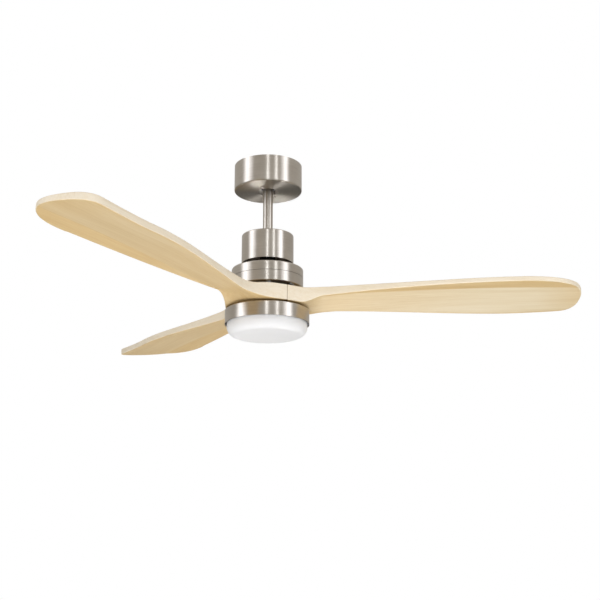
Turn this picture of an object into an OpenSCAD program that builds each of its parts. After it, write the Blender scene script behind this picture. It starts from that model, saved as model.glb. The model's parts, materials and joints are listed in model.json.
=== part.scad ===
// Three-blade ceiling fan with a round light, hung from a ball joint on a down rod.
// The origin is on the fan's axis in the plane of the ceiling; everything hangs below it, at negative Z.

/* [Overall] */
// Sweep of the blades, tip to tip
fan_d = 1320; // [1050:10:1600]
// Bare length of down rod between the canopy and the coupling cover
rod_exposed = 100.5; // [60:0.5:400]

/* [Canopy and bracket] */
// Canopy diameter
canopy_d = 145; // [140:1:180]
// Canopy height
canopy_h = 57; // [54:1:80]
// Canopy sheet thickness
canopy_wall = 1.2; // [0.8:0.1:2]
// Radius of the canopy's lower edge
canopy_edge_r = 2.5; // [1:0.5:5]
// Diameter of the hole that the down rod swings in
canopy_hole_d = 43.5; // [40:0.5:46]
// Distance of the canopy screws from the axis
canopy_screw_pitch_r = 32; // [30:0.5:36]
// Direction of the first canopy screw
canopy_screw_angle = -112; // [-180:1:180]
// Bracket length along X
bracket_l = 118; // [110:1:122]
// Bracket width along Y
bracket_w = 44; // [36:1:50]
// Bracket steel thickness
bracket_t = 2; // [1.5:0.1:3]
// Spacing of the two ceiling slots
slot_spacing = 90; // [86:0.5:96]
// Width of a ceiling slot
slot_w = 5.6; // [4:0.1:6.5]
// Length of a ceiling slot
slot_l = 13; // [8:0.5:14]

/* [Ball joint and down rod] */
// Hanger ball diameter
ball_d = 48; // [46:0.5:50]
// Depth of the ball's centre below the ceiling
ball_depth = 30; // [29:0.5:34]
// Clearance between the ball and its socket
ball_gap = 0.3; // [0.2:0.05:0.5]
// Down rod diameter
rod_d = 21; // [18:0.1:22]
// Down rod wall thickness
rod_wall = 1.8; // [1.2:0.1:2.5]

/* [Coupling cover] */
// Cover diameter
cover_d = 110; // [90:1:125]
// Cover height
cover_h = 62.5; // [56:0.5:90]
// Cover sheet thickness
cover_wall = 1.2; // [0.8:0.1:2]
// Open gap between the cover and the motor
cover_gap = 13; // [8:0.5:20]

/* [Motor] */
// Motor housing diameter
motor_d = 151; // [148:1:180]
// Motor housing height
motor_h = 42.5; // [42:0.5:60]
// Height of the upper housing shell
motor_upper_h = 20; // [18:0.5:24]
// Housing wall thickness
motor_wall = 2.5; // [2:0.1:3.5]
// Width of the seam between the two shells
seam_w = 0.7; // [0.4:0.1:1]
// Fixed shaft diameter
shaft_d = 17; // [16:0.1:17]
// Fixed shaft bore
shaft_bore_d = 11; // [9:0.1:11]
// Bearing outer diameter
bearing_d = 35; // [32:1:35]
// Bearing width
bearing_w = 10; // [8:0.5:10]
// Number of stator teeth
teeth = 12; // [9:3:15]
// Number of rotor magnets
magnets = 16; // [12:2:20]

/* [Blades] */
// Gap between the motor and the blade roots
blade_gap = 10.5; // [8:0.5:16]
// Thickness of the joined blade roots
hub_t = 32; // [28:1:40]
// Radius of the joined roots at the seams
hub_r = 87; // [85:0.5:92]
// Leading half chord at the outer blade
chord_lead = 93; // [75:1:100]
// Trailing half chord at the outer blade
chord_trail = 83.5; // [75:0.5:100]
// Leading half chord at the neck
neck_lead = 38; // [36:0.5:48]
// Trailing half chord at the neck
neck_trail = 29; // [26:1:38]
// Height of the leading lower edge above the hub's middle, at the tip
lead_rise = 18; // [10:0.5:22]
// Depth of the trailing lower edge below the hub's middle, at the tip
trail_drop = 5.5; // [2:0.5:12]
// Distance of the underside crease from the blade's centre line
crease_t = 44; // [30:1:60]
// Thickness of the leading edge at the outer blade
lead_edge_t = 9.8; // [6:0.1:14]
// Thickness of the trailing edge at the outer blade
trail_edge_t = 14; // [8:0.1:18]

/* [Light] */
// Light housing diameter
light_d = 176.6; // [170:0.2:200]
// Light housing height
light_h = 29.7; // [28:0.1:45]
// Light housing sheet thickness
light_wall = 1.2; // [0.8:0.1:2]
// Gap between the blade roots and the light housing
light_gap = 4.3; // [4:0.1:8]
// Diffuser diameter
diffuser_d = 168.2; // [162:0.2:190]
// Depth of the diffuser below the light housing
diffuser_drop = 24; // [18:0.5:60]
// Radius of the diffuser's lower edge
diffuser_edge_r = 18; // [6:0.5:18]
// Diffuser wall thickness
diffuser_wall = 2.2; // [1.5:0.1:4]

/* [Hidden] */
$fn = 96;

// Colours
nickel = [0.72, 0.69, 0.65];
zinc = [0.60, 0.61, 0.62];
black = [0.12, 0.12, 0.12];
maple = [0.88, 0.79, 0.62];
copper = [0.72, 0.38, 0.18];
opal = [0.95, 0.95, 0.93];

// Clearances
eps = 0.01;
loose = 0.1;
thread_gap = 0.05;
running = 0.03;

// Levels down the axis
canopy_z = -canopy_h;
cover_z = canopy_z - rod_exposed;
cover_bottom_z = cover_z - cover_h;
motor_z = cover_bottom_z - cover_gap;
motor_bottom_z = motor_z - motor_h;
root_z = motor_bottom_z - blade_gap;
hub_z = root_z - hub_t / 2;
root_bottom_z = root_z - hub_t;
light_z = root_bottom_z - light_gap;
light_bottom_z = light_z - light_h;
diffuser_bottom_z = light_bottom_z - diffuser_drop;

// Ball joint
ball_r = ball_d / 2;
ball_z = -ball_depth;
ball_top = 17;
ball_bottom = 20;
socket_r = ball_r + ball_gap;
socket_wall = 2;
socket_high = -12;
socket_low = -46;
tab_depth = 2.8;
tab_t = 3.6;
flange_z = ball_z - 5;
flange_r = 42;
leg_x = 35;
leg_w = 30;
box_drop = 7;
rod_r = rod_d / 2;
rod_top_z = ball_z + ball_top;
pin_r = 2.5;
ball_pin_z = ball_z + 12.5;

// Coupling
coupling_r = rod_r + 5.5;
coupling_top_z = cover_z - 15;
coupling_bottom_z = motor_z + 3;
coupling_flange_r = 23;
coupling_flange_t = 8;
rod_bottom_z = coupling_bottom_z + 22;
coupling_pin_z = coupling_top_z - 14;
coupling_pin_r = 3;
coupling_screw_z = rod_bottom_z + 8;
coupling_screw_r = 3;
collar_h = 8;
collar_r = rod_r + 6;
clip_y = coupling_r + 3.5;
clip_wire_r = 0.8;
cable_r = 2.5;
cable_tail_r = 1.6;
cable_x = coupling_pin_r + cable_r + 0.4;

// Motor
motor_r = motor_d / 2;
motor_inner_r = motor_r - motor_wall;
plate_t = 3;
shaft_r = shaft_d / 2;
shaft_bore_r = shaft_bore_d / 2;
shaft_top_z = rod_bottom_z - 1;
bearing_r = bearing_d / 2;
bearing_boss_r = bearing_r + 4;
bearing_hole_r = bearing_r - 4.5;
upper_bearing_z = motor_z - plate_t;
lower_bearing_z = motor_bottom_z + plate_t + bearing_w;
core_mid_z = (upper_bearing_z - bearing_w + lower_bearing_z) / 2;
core_t = 10;
winding_over = 4;
back_iron_r = motor_r - 9.5;
back_iron_top_z = motor_z - plate_t - 7;
back_iron_bottom_z = motor_bottom_z + plate_t + 8.5;
magnet_t = 4;
air_gap = 0.8;
core_r = back_iron_r - magnet_t - air_gap;
core_hub_r = 22;
shoe_t = 4.2;
tooth_w = 7;
lead_z = core_mid_z + core_t / 2 + 2;
lead_r = 0.9;
lead_pitch = 2;
lead_hole_r = lead_pitch + lead_r + 0.3;
housing_screw_count = 4;
housing_screw_pitch_r = motor_inner_r - 3.6;
housing_screw_r = 1.6;
housing_screw_angle = 45;
board_t = 1.6;

// Blade fixing
blade_count = 3;
blade_step = 360 / blade_count;
root_bore_r = 24;
blade_screw_r = 2.5;
blade_screw_hole_r = 2.8;
seam_angle = blade_step / 2;
outer_screw = [62, 34];
inner_screw = [46, 0];
blade_screws_at = [[outer_screw[0], -outer_screw[1]], [outer_screw[0], outer_screw[1]], inner_screw];
blade_boss_r = 5.5;
blade_boss_h = 5.5;
blade_plate_t = 1.5;
blade_plate_r = 70;
blade_plate_bore_r = root_bore_r - 1;
blade_plate_z = root_bottom_z - blade_plate_t;
screw_head_r = 5;
screw_head_h = 2.5;

// Blade form. A blade point is [u, t]: u along the blade from the axis, t across it, positive towards the
// leading edge. A height named in the blade is measured from the middle plane of the joined roots.
tip_u = fan_d / 2;
tip_t = -30;
lead_tip_l = 138;
lead_tip_power = 2.45;
trail_tip_l = 38;
trail_tip_power = 2.6;
neck_u = 100;
lead_full_u = tip_u - 67;
trail_start_u = 50;
trail_full_u = tip_u - 174;
lead_fillet_u = 128;
trail_fillet_u = 145;
fillet_handle = 36;
lead_neck_point = [94, neck_lead + 1];
trail_neck_point = [102, -neck_trail - 7];
// The root is flat out to flat_u and turns into the blade over twist_l
flat_u = 68;
twist_l = 52;
// Each edge starts lower at the neck and reaches its full height at its level_u
lead_sink = 17.2;
lead_level_u = tip_u - 140;
trail_sink = 8.6;
trail_level_u = tip_u - 160;
trail_tip_lift = 8;
// Each edge is thicker at the neck and reaches its outer thickness at its thin_u
lead_neck_extra_t = 9.8;
lead_thin_u = 400;
trail_neck_extra_t = 9.5;
trail_thin_u = 350;
// Narrowest share of the chord that the band ahead of the crease takes
crease_band = 0.12;
root_steps = 2;
fillet_steps = 14;
span_steps = 26;
tip_steps = 14;

// Light
light_r = light_d / 2;
light_inner_r = light_r - light_wall;
light_plate_t = 1.5;
light_inner_z = light_z - light_plate_t;
shaft_bottom_z = light_inner_z - 9;
nut_h = 7;
driver = [62, 28, 13];
driver_y = 18;
board_r = 72;
led_board_z = light_inner_z - 15;
standoff_count = 3;
standoff_pitch_r = 64;
standoff_r = 4;
diffuser_r = diffuser_d / 2;
diffuser_top_z = light_bottom_z + 8.5;
lug_count = 3;
lug_h = 3.5;
lug_reach = light_inner_r - 0.5;
lug_angle = 5;
ledge_t = 1.6;
ledge_r = diffuser_r + 0.5;
ledge_z = diffuser_top_z - lug_h - ball_gap;
ledge_from = -8;
ledge_to = 12;
stop_from = 5.4;
stop_to = 7.4;

// ---------- shared shapes ----------

// A plain ring about the axis, from z_top down by h
module ring(r_out, r_in, z_top, h) {
    rotate_extrude()
        translate([r_in, z_top - h])
            square([r_out - r_in, h]);
}

// A plain rod about the axis, from z_top down by h
module bar(r, z_top, h) {
    translate([0, 0, z_top - h])
        cylinder(h = h, r = r);
}

// Half of the section of a cup with a rounded outer lower edge; its lower face is at z = 0
module cup_half(r, h, wall, base, edge_r) {
    difference() {
        union() {
            square([r - edge_r, h]);
            translate([0, edge_r])
                square([r, h - edge_r]);
            translate([r - edge_r, edge_r])
                circle(r = edge_r);
        }
        inner_r = max(edge_r - wall, 0.2);
        translate([0, base + inner_r])
            square([r - wall, h]);
        translate([0, base])
            square([r - wall - inner_r, h]);
        translate([r - wall - inner_r, base + inner_r])
            circle(r = inner_r);
        translate([-r, -eps])
            square([r, h + 2 * eps]);
    }
}

// A wedge of a ring between two angles
module ring_wedge(r_out, r_in, z_top, h, from, to) {
    rotate([0, 0, from])
        rotate_extrude(angle = to - from)
            translate([r_in, z_top - h])
                square([r_out - r_in, h]);
}

// Repeats its children evenly about the axis
module around(count, start = 0) {
    for (i = [0:count - 1])
        rotate([0, 0, start + i * 360 / count])
            children();
}

// Places its children at every blade screw of one blade
module at_blade_screws() {
    for (p = blade_screws_at)
        rotate([0, 0, p[1]])
            translate([p[0], 0, 0])
                children();
}

// ---------- ceiling side, fixed ----------

// A sector of the joint's spherical shell, in the XZ plane
module socket_band(r_in, r_out, high, low) {
    reach = 2 * ball_r;
    intersection() {
        difference() {
            circle(r = r_out);
            circle(r = r_in);
        }
        polygon([[0, 0], reach * [cos(high), sin(high)], reach * [cos(low), sin(low)]]);
    }
}

module ceiling_slot() {
    half = (slot_l - slot_w) / 2;
    for (x = [-half, half])
        translate([x, 0, -bracket_t - eps])
            cylinder(h = bracket_t + 2 * eps, d = slot_w);
    translate([-half, -slot_w / 2, -bracket_t - eps])
        cube([2 * half, slot_w, bracket_t + 2 * eps]);
}

module ceiling_bracket() color(zinc) {
    wire_hole_r = 9;
    wire_hole_x = -22;
    difference() {
        union() {
            translate([-bracket_l / 2, -bracket_w / 2, -bracket_t])
                cube([bracket_l, bracket_w, bracket_t]);
            for (side = [-1, 1])
                translate([side * (leg_x + bracket_t / 2) - bracket_t / 2, -leg_w / 2, flange_z - bracket_t])
                    cube([bracket_t, leg_w, -flange_z]);
            ring(flange_r, socket_r + 1, flange_z, bracket_t);
            translate([0, 0, ball_z])
                rotate_extrude()
                    socket_band(socket_r, socket_r + socket_wall, socket_high, socket_low);
            translate([0, tab_t / 2, ball_z])
                rotate([90, 0, 0])
                    linear_extrude(tab_t)
                        socket_band(socket_r - tab_depth, socket_r + 0.5, socket_high - 2, socket_low + 6);
        }
        translate([wire_hole_x, 0, -bracket_t - eps])
            cylinder(h = bracket_t + 2 * eps, r = wire_hole_r);
        for (side = [-1, 1])
            translate([side * slot_spacing / 2, 0, 0])
                ceiling_slot();
        around(2, canopy_screw_angle)
            translate([canopy_screw_pitch_r, 0, flange_z - bracket_t - eps])
                cylinder(h = bracket_t + 2 * eps, r = 2 + thread_gap);
    }
}

module canopy() color(nickel) {
    difference() {
        translate([0, 0, canopy_z])
            rotate_extrude()
                cup_half(canopy_d / 2, canopy_h, canopy_wall, canopy_wall, canopy_edge_r);
        translate([0, 0, canopy_z - eps])
            cylinder(h = canopy_wall + 2 * eps, d = canopy_hole_d);
        around(2, canopy_screw_angle)
            translate([canopy_screw_pitch_r, 0, canopy_z - eps])
                cylinder(h = canopy_wall + 2 * eps, r = 2.3);
    }
}

module canopy_screws() color(nickel) {
    head_r = 3.6;
    head_h = 1.8;
    around(2, canopy_screw_angle)
        translate([canopy_screw_pitch_r, 0, 0]) {
            bar(2, flange_z + 1.5, flange_z + 1.5 - canopy_z);
            difference() {
                bar(head_r, canopy_z, head_h);
                for (turn = [0, 90])
                    rotate([0, 0, turn])
                        translate([-2.2, -0.45, canopy_z - head_h - eps])
                            cube([4.4, 0.9, 1]);
            }
        }
}

module receiver_box() color(black) {
    size = [20, 50, 26];
    translate([leg_x + bracket_t, -size[1] / 2, -bracket_t - box_drop - size[2]]) {
        difference() {
            cube(size);
            translate([size[0] - 0.8, -eps, size[2] / 2 - 0.4])
                cube([1, size[1] + 2 * eps, 0.8]);
        }
    }
}

module terminal_block() color(opal) {
    size = [16, 30, 18];
    difference() {
        translate([-leg_x - bracket_t - size[0], -size[1] / 2, -bracket_t - box_drop - size[2]])
            cube(size);
        for (i = [-1:1])
            translate([-leg_x - bracket_t - size[0] / 2, i * 9, -bracket_t - box_drop - size[2] - eps])
                cylinder(h = 8, r = 2.6);
    }
}

// ---------- hanging assembly, swings on the ball ----------

module hanger_ball() color(black) {
    slot_w_ball = tab_t + 0.8;
    difference() {
        translate([0, 0, ball_z])
            sphere(r = ball_r);
        bar(ball_d, ball_z + ball_d, ball_d - ball_top);
        bar(ball_d, ball_z - ball_bottom, ball_d);
        bar(rod_r + loose, ball_z + ball_r, ball_d);
        translate([-pin_r - loose, -ball_r, ball_pin_z - pin_r])
            cube([2 * (pin_r + loose), ball_d, ball_r]);
        translate([0, slot_w_ball / 2, ball_z])
            rotate([90, 0, 0])
                linear_extrude(slot_w_ball)
                    socket_band(socket_r - tab_depth - 0.7, ball_d, 6, -68);
        translate([0, 0, ball_z - 2])
            rotate([0, -90, 0])
                cylinder(h = ball_r, r = 2.5 + thread_gap);
    }
}

module ball_pin() color(zinc) {
    half = 17;
    translate([0, half, ball_pin_z])
        rotate([90, 0, 0])
            cylinder(h = 2 * half, r = pin_r);
}

module ball_set_screw() color(zinc) {
    length = 10;
    translate([-rod_r - loose / 2, 0, ball_z - 2])
        rotate([0, -90, 0])
            difference() {
                cylinder(h = length, r = 2.5);
                translate([0, 0, length - 2.5])
                    cylinder(h = 3, d = 2.9, $fn = 6);
            }
}

module downrod() color(nickel) {
    length = rod_top_z - rod_bottom_z;
    difference() {
        ring(rod_r, rod_r - rod_wall, rod_top_z, length);
        translate([0, rod_d, ball_pin_z])
            rotate([90, 0, 0])
                cylinder(h = 2 * rod_d, r = pin_r + thread_gap);
        translate([0, rod_d, coupling_pin_z])
            rotate([90, 0, 0])
                cylinder(h = 2 * rod_d, r = coupling_pin_r + thread_gap);
    }
}

module lead_connector() color(opal) {
    size = [9, 7, 6];
    translate([cable_x - size[0] / 2, -size[1] / 2, rod_top_z + 2])
        cube(size);
}

module coupling_cover() color(nickel) {
    difference() {
        translate([0, 0, cover_z])
            mirror([0, 0, 1])
                rotate_extrude()
                    cup_half(cover_d / 2, cover_h, cover_wall, cover_wall, 2.5);
        bar(rod_r + 0.3, cover_z + eps, cover_wall + 2 * eps);
    }
}

module cover_collar() color(zinc) {
    collar_z = cover_z - cover_wall;
    difference() {
        ring(collar_r, rod_r + loose, collar_z, collar_h);
        translate([0, 0, collar_z - collar_h / 2])
            rotate([0, 90, 0])
                cylinder(h = cover_d, r = 2 + thread_gap);
    }
}

module collar_screw() color(zinc) {
    length = collar_r - rod_r + 2;
    translate([rod_r + loose / 2, 0, cover_z - cover_wall - collar_h / 2])
        rotate([0, 90, 0])
            difference() {
                cylinder(h = length, r = 2);
                translate([0, 0, length - 2])
                    cylinder(h = 3, d = 2.3, $fn = 6);
            }
}

module motor_coupling() color(black) {
    difference() {
        union() {
            bar(coupling_r, coupling_top_z, coupling_top_z - coupling_bottom_z);
            bar(coupling_flange_r, coupling_bottom_z + coupling_flange_t, coupling_flange_t);
        }
        bar(rod_r + loose, coupling_top_z + eps, coupling_top_z - rod_bottom_z + 0.3);
        bar(shaft_r + thread_gap, coupling_top_z, coupling_top_z - coupling_bottom_z + eps);
        translate([0, coupling_flange_r, coupling_pin_z])
            rotate([90, 0, 0])
                cylinder(h = 2 * coupling_flange_r, r = coupling_pin_r + thread_gap);
        translate([-coupling_flange_r, 0, coupling_screw_z])
            rotate([0, 90, 0])
                cylinder(h = 2 * coupling_flange_r, r = coupling_screw_r + thread_gap);
    }
}

module coupling_pin() color(zinc) {
    head_h = 2;
    tail = 3.5;
    translate([0, 0, coupling_pin_z])
        difference() {
            union() {
                translate([0, clip_y + tail, 0])
                    rotate([90, 0, 0])
                        cylinder(h = clip_y + tail + coupling_r + 0.5, r = coupling_pin_r);
                translate([0, -coupling_r - 0.5, 0])
                    rotate([90, 0, 0])
                        cylinder(h = head_h, r = coupling_pin_r + 2);
            }
            translate([0, clip_y, -coupling_pin_r - eps])
                cylinder(h = 2 * coupling_pin_r + 2 * eps, r = clip_wire_r + thread_gap);
        }
}

// Hairpin clip: one straight leg goes through the pin, the other is bowed round it
module pin_clip() color(zinc) {
    bow_r = coupling_pin_r + clip_wire_r + 0.3;
    leg_top = 8;
    loop_r = bow_r / 2;
    translate([0, clip_y, coupling_pin_z]) {
        translate([0, 0, -leg_top])
            cylinder(h = 2 * leg_top, r = clip_wire_r);
        translate([loop_r, 0, leg_top])
            rotate([90, 0, 0])
                rotate_extrude(angle = 180)
                    translate([loop_r, 0])
                        circle(r = clip_wire_r, $fn = 24);
        translate([bow_r, 0, -leg_top + 2])
            cylinder(h = 2 * leg_top - 2, r = clip_wire_r);
    }
}

module coupling_screws() color(zinc) {
    length = coupling_r - rod_r + 1.5;
    for (side = [0, 180])
        rotate([0, 0, side])
            translate([rod_r + loose / 2, 0, coupling_screw_z])
                rotate([0, 90, 0])
                    difference() {
                        cylinder(h = length, r = coupling_screw_r);
                        translate([0, 0, length - 2.5])
                            cylinder(h = 3, d = 3.4, $fn = 6);
                    }
}

// ---------- fixed inner motor ----------

module motor_shaft() color(zinc) {
    difference() {
        ring(shaft_r, shaft_bore_r, shaft_top_z, shaft_top_z - shaft_bottom_z);
        translate([0, 0, lead_z])
            rotate([0, 90, 0])
                cylinder(h = shaft_d, r = lead_hole_r);
    }
}

module stator_core() color(zinc) {
    slot_open = 2.5;
    pitch = 360 / teeth;
    translate([0, 0, core_mid_z - core_t / 2])
        linear_extrude(core_t)
            difference() {
                union() {
                    circle(r = core_hub_r);
                    difference() {
                        circle(r = core_r);
                        circle(r = core_r - shoe_t);
                    }
                    for (i = [0:teeth - 1])
                        rotate(i * pitch)
                            translate([0, -tooth_w / 2])
                                square([core_r - 1, tooth_w]);
                }
                circle(r = shaft_r + running);
                for (i = [0:teeth - 1])
                    rotate((i + 0.5) * pitch)
                        translate([core_r - shoe_t - 1, -slot_open / 2])
                            square([shoe_t + 2, slot_open]);
            }
}

module stator_windings() color(copper) {
    coil_h = core_t + 2 * winding_over;
    half_pitch = 180 / teeth;
    inner = core_hub_r + 4;
    outer = (core_r - shoe_t - 0.5) * cos(half_pitch);
    inner_half = inner * sin(half_pitch) - 0.4;
    outer_half = outer * sin(half_pitch) - 1.8;
    around(teeth)
        translate([0, 0, core_mid_z - coil_h / 2])
            difference() {
                linear_extrude(coil_h)
                    polygon([[inner, -inner_half], [outer, -outer_half],
                             [outer, outer_half], [inner, inner_half]]);
                translate([inner - 1, -tooth_w / 2, winding_over])
                    cube([outer - inner + 2, tooth_w, core_t]);
            }
}

module sensor_board() color([0.1, 0.35, 0.2]) {
    board_z = core_mid_z - core_t / 2 - winding_over;
    ring(core_r - 10, bearing_boss_r + 2.5, board_z, board_t);
}

module motor_leads() color(black) {
    length = core_hub_r + 4 - cable_r;
    for (i = [-1:1])
        translate([cable_r + 0.2, i * lead_pitch, lead_z])
            rotate([0, 90, 0])
                cylinder(h = length - 0.2, r = lead_r, $fn = 24);
}

module shaft_circlip() color(zinc) {
    clip_t = 1.2;
    gap_angle = 30;
    ring_wedge(shaft_r + 2.8, shaft_r + running, motor_bottom_z + plate_t - 0.1, clip_t,
               gap_angle / 2, 360 - gap_angle / 2);
}

module shaft_spacer() color(zinc) {
    spacer_top_z = motor_bottom_z + plate_t - 1.6;
    ring(shaft_r + 3, shaft_r + loose, spacer_top_z, spacer_top_z - light_z);
}

// A round cable along straight runs, with a slightly larger ball at every bend
module cable_run(points, r) {
    bend_r = r + 0.1;
    for (i = [0:len(points) - 2])
        let (run = points[i + 1] - points[i], flat = norm([run[0], run[1]]))
        translate(points[i])
            rotate([0, atan2(flat, run[2]), atan2(run[1], run[0])])
                cylinder(h = norm(run), r = r, $fn = 48);
    for (i = [1:len(points) - 2])
        translate(points[i])
            sphere(r = bend_r, $fn = 48);
}

// Lamp supply cable: beside the two cross pins in the rod, then down the shaft's bore to the driver
module light_cable() color(black) {
    bottom_z = shaft_bottom_z - 1 - cable_tail_r;
    cable_run([[cable_x, 0, rod_top_z + 2], [cable_x, 0, coupling_pin_z - coupling_pin_r - 2],
               [0, 0, rod_bottom_z + 2], [0, 0, bottom_z]], cable_r);
    translate([0, 0, bottom_z])
        rotate([-90, 0, 0])
            cylinder(h = driver_y, r = cable_tail_r, $fn = 32);
}

// ---------- light ----------

module light_housing() color(nickel) {
    difference() {
        translate([0, 0, light_z])
            mirror([0, 0, 1])
                rotate_extrude()
                    cup_half(light_r, light_h, light_wall, light_plate_t, 2);
        bar(shaft_r + loose, light_z + eps, light_plate_t + 2 * eps);
    }
}

module shaft_nut() color(zinc) {
    difference() {
        translate([0, 0, light_inner_z - nut_h])
            cylinder(h = nut_h, d = 27, $fn = 6);
        bar(shaft_r + thread_gap, light_z, light_h);
    }
}

module led_driver() color(opal) {
    translate([-driver[0] / 2, driver_y, light_inner_z - driver[2]])
        cube(driver);
}

module at_standoffs() {
    around(standoff_count, 30)
        translate([standoff_pitch_r, 0, 0])
            children();
}

module board_standoffs() color(zinc) {
    at_standoffs()
        ring(standoff_r, 1.5 + thread_gap, light_inner_z, light_inner_z - led_board_z);
}

module led_board() color(opal) {
    wire_hole_r = 6;
    difference() {
        bar(board_r, led_board_z, board_t);
        bar(wire_hole_r, led_board_z + 1, board_t + 2);
        at_standoffs()
            bar(1.7, led_board_z + 1, board_t + 2);
    }
}

module leds() color([0.95, 0.85, 0.45]) {
    chip = [3, 2.8, 0.8];
    for (row = [[22, 8], [38, 14], [54, 20]])
        around(row[1])
            translate([row[0] - chip[0] / 2, -chip[1] / 2, led_board_z - board_t - chip[2]])
                cube(chip);
}

module board_screws() color(zinc) {
    length = 9;
    at_standoffs() {
        bar(1.5, led_board_z + length - board_t, length);
        bar(2.8, led_board_z - board_t, 1.6);
    }
}

// Bayonet ledges that carry the diffuser's lugs, each with a stop at one end
module bayonet_clips() color(zinc) {
    stop_h = diffuser_top_z - ledge_z;
    around(lug_count)
        difference() {
            ring_wedge(light_inner_r, ledge_r, diffuser_top_z, stop_h + ledge_t, ledge_from, ledge_to);
            for (cut = [[ledge_from - 2, stop_from], [stop_to, ledge_to + 2]])
                ring_wedge(light_r, ledge_r - 1, diffuser_top_z + 1, stop_h + 1, cut[0], cut[1]);
        }
}

module diffuser() color(opal) {
    translate([0, 0, diffuser_bottom_z])
        rotate_extrude()
            cup_half(diffuser_r, diffuser_top_z - diffuser_bottom_z, diffuser_wall, diffuser_wall,
                     diffuser_edge_r);
    around(lug_count)
        ring_wedge(lug_reach, diffuser_r - diffuser_wall / 2, diffuser_top_z, lug_h, -lug_angle, lug_angle);
}

// ---------- rotor, turns on the two bearings ----------

// One housing shell, with its plate at the bottom and its bearing boss inside
module shell_body(height, edge_r) {
    rotate_extrude()
        cup_half(motor_r, height, motor_wall, plate_t, edge_r);
    ring(bearing_boss_r, bearing_r, plate_t + bearing_w, bearing_w);
}

module housing_boss(h) {
    boss_r = 3.6;
    around(housing_screw_count, housing_screw_angle)
        translate([housing_screw_pitch_r, 0, plate_t])
            cylinder(h = h, r = boss_r);
}

module motor_top_shell() color(nickel) {
    boss_h = 7;
    difference() {
        translate([0, 0, motor_z])
            mirror([0, 0, 1]) {
                shell_body(motor_upper_h - seam_w / 2, 3);
                housing_boss(boss_h);
            }
        bar(bearing_hole_r, motor_z + eps, plate_t + 2 * eps);
        around(housing_screw_count, housing_screw_angle)
            translate([housing_screw_pitch_r, 0, 0])
                bar(housing_screw_r + thread_gap, motor_z - plate_t, boss_h + eps);
    }
}

module motor_bottom_shell() color(nickel) {
    height = motor_h - motor_upper_h - seam_w / 2;
    difference() {
        translate([0, 0, motor_bottom_z]) {
            shell_body(height, 1.2);
            around(blade_count)
                at_blade_screws()
                    cylinder(h = plate_t + blade_boss_h, r = blade_boss_r);
        }
        bar(bearing_hole_r, motor_bottom_z + plate_t + eps, plate_t + 2 * eps);
        around(blade_count)
            at_blade_screws()
                bar(blade_screw_r + thread_gap, motor_bottom_z + plate_t + blade_boss_h - 1,
                    plate_t + blade_boss_h);
        around(housing_screw_count, housing_screw_angle)
            translate([housing_screw_pitch_r, 0, 0])
                bar(housing_screw_r + 0.2, motor_bottom_z + plate_t + eps, plate_t + 2 * eps);
    }
}

module rotor_back_iron() color(zinc) {
    difference() {
        ring(motor_inner_r, back_iron_r, back_iron_top_z, back_iron_top_z - back_iron_bottom_z);
        around(housing_screw_count, housing_screw_angle)
            translate([housing_screw_pitch_r, 0, 0])
                bar(housing_screw_r + 0.2, back_iron_top_z + eps, motor_h);
    }
}

module rotor_magnets() color([0.35, 0.35, 0.37]) {
    half_angle = 180 / magnets - 0.8;
    magnet_h = core_t + 4;
    around(magnets)
        ring_wedge(back_iron_r, back_iron_r - magnet_t, core_mid_z + magnet_h / 2, magnet_h,
                   -half_angle, half_angle);
}

// Deep-groove ball bearing: two grooved races with the balls between them
module bearing(z_top) {
    ball_count = 9;
    race_t = 3.2;
    r_in = shaft_r + running;
    pitch_r = (r_in + bearing_r) / 2;
    ball_size = bearing_r - r_in - 2 * race_t + 1.4;
    translate([0, 0, z_top - bearing_w / 2]) {
        rotate_extrude()
            difference() {
                union() {
                    translate([r_in, -bearing_w / 2])
                        square([race_t, bearing_w]);
                    translate([bearing_r - race_t, -bearing_w / 2])
                        square([race_t, bearing_w]);
                }
                translate([pitch_r, 0])
                    circle(d = ball_size + 0.1, $fn = 48);
            }
        around(ball_count)
            translate([pitch_r, 0, 0])
                sphere(d = ball_size, $fn = 32);
    }
}

module upper_bearing() color(zinc) bearing(upper_bearing_z);

module lower_bearing() color(zinc) bearing(lower_bearing_z);

module housing_screws() color(zinc) {
    head_r = 3;
    head_h = 1.8;
    top_z = back_iron_top_z + 5;
    around(housing_screw_count, housing_screw_angle)
        translate([housing_screw_pitch_r, 0, 0]) {
            bar(housing_screw_r, top_z, top_z - motor_bottom_z);
            bar(head_r, motor_bottom_z, head_h);
        }
}

module blade_spacers() color(zinc) {
    around(blade_count)
        at_blade_screws()
            ring(6, blade_screw_hole_r, motor_bottom_z, blade_gap);
}

module countersink(z) {
    translate([0, 0, z - eps])
        cylinder(h = screw_head_h + 0.2, r1 = screw_head_r + 0.15, r2 = blade_screw_hole_r - 0.15);
}

module blade_plate() color(zinc) {
    difference() {
        ring(blade_plate_r, blade_plate_bore_r, root_bottom_z, blade_plate_t);
        around(blade_count)
            at_blade_screws() {
                bar(blade_screw_hole_r, root_bottom_z + eps, blade_plate_t + 2 * eps);
                countersink(blade_plate_z);
            }
    }
}

module blade_screws() color(zinc) {
    top_z = motor_bottom_z + plate_t + blade_boss_h - 1.5;
    around(blade_count)
        at_blade_screws()
            difference() {
                union() {
                    bar(blade_screw_r, top_z, top_z - blade_plate_z);
                    translate([0, 0, blade_plate_z])
                        cylinder(h = screw_head_h, r1 = screw_head_r, r2 = blade_screw_r);
                }
                translate([0, 0, blade_plate_z - eps])
                    cylinder(h = 1.6, d = 3.4, $fn = 6);
            }
}

// ---------- blade ----------

function mix(a, b, f) = a + (b - a) * f;
function clamp(x) = max(0, min(1, x));
function ease(x) = let (c = clamp(x)) c * c * (3 - 2 * c);
function part(u, from, to) = (u - from) / (to - from);

// What is left of the way from the neck to a place further out, raised to a power
function left_to(u, far, power) = pow(max(1 - part(u, neck_u, far), 0), power);

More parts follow.
